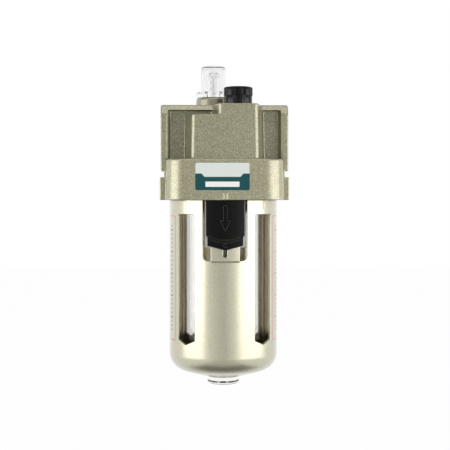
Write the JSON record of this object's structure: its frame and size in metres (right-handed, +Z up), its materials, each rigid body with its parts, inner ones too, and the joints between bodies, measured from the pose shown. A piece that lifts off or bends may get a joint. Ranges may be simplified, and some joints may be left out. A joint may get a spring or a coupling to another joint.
{
  "type": "air line lubricator",
  "caption": "Air line lubricator with threaded in-line ports, clear drip sight dome, screw filler plug and a clear oil bowl in a slotted metal guard with a bayonet and lock button.",
  "frame": {"origin": "on the bowl axis, at the lowest point of the clear boss under the bowl", "axes": "+X along the air line from the inlet port to the outlet port, +Z up along the bowl axis towards the sight dome, -Y the front with the nameplate and the lock button"},
  "size_m": [0.07, 0.0704, 0.1776],
  "materials": {
    "body_paint": "die-cast, champagne metallic paint with a fine sparkle",
    "guard_paint": "drawn cup, champagne metallic paint, smooth satin",
    "nameplate_print": "printed film, pale field over a teal field",
    "clear_plastic": "clear polycarbonate",
    "black_plastic": "moulded, satin gloss",
    "pale_plastic": "moulded, light grey",
    "milky_plastic": "extruded tube, milky",
    "grey_elastomer": "moulded flap",
    "rubber": "nitrile rubber",
    "brass": "turned",
    "bronze": "sintered, porous",
    "zinc": "die-cast, plain",
    "steel": "plain"
  },
  "bodies": {
    "housing": {"body": "body_paint", "nameplate": "nameplate_print", "needle_seat": "brass", "passage_plug": "brass", "damper": "grey_elastomer", "damper_retainer": "zinc", "retainer_oring": "rubber", "retainer_screws": "steel", "check_ball": "steel", "siphon_tube": "milky_plastic", "strainer": "bronze", "bowl": "clear_plastic", "bowl_oring": "rubber", "bowl_guard": "guard_paint", "lock_spring": "steel"},
    "lock": {"lock_button": "black_plastic", "lock_plate": "pale_plastic"},
    "dome": {"sight_dome": "clear_plastic", "drip_nozzle": "clear_plastic", "metering_needle": "brass", "dome_oring": "rubber"},
    "plug_seal": {"plug_oring": "rubber"},
    "plug": {"filler_plug": "black_plastic"}
  },
  "joints": [
    {"name": "lock_slide", "type": "slide", "parent": "housing", "child": "lock", "axis": [0, 0, -1], "range_m": [0, 0.0045], "stiffness_N_per_m": 300, "springref_m": -0.004, "deforming": ["lock_spring"]},
    {"name": "dome_turn", "type": "hinge", "parent": "housing", "child": "dome", "pos_m": [-0.0055, 0, 0.1595], "axis": [0, 0, 1], "range_deg": [0, 330]},
    {"name": "plug_lift", "type": "slide", "parent": "housing", "child": "plug_seal", "axis": [0, 0, 1], "range_m": [0, 0.0076]},
    {"name": "plug_turn", "type": "hinge", "parent": "plug_seal", "child": "plug", "pos_m": [0.0075, -0.0185, 0.1543], "axis": [0, 0, 1], "range_deg": [0, 1800]}
  ],
  "couplings": [
    {"joint": "plug_lift", "follows": "plug_turn", "m_per_rad": 0.00023873}
  ]
}
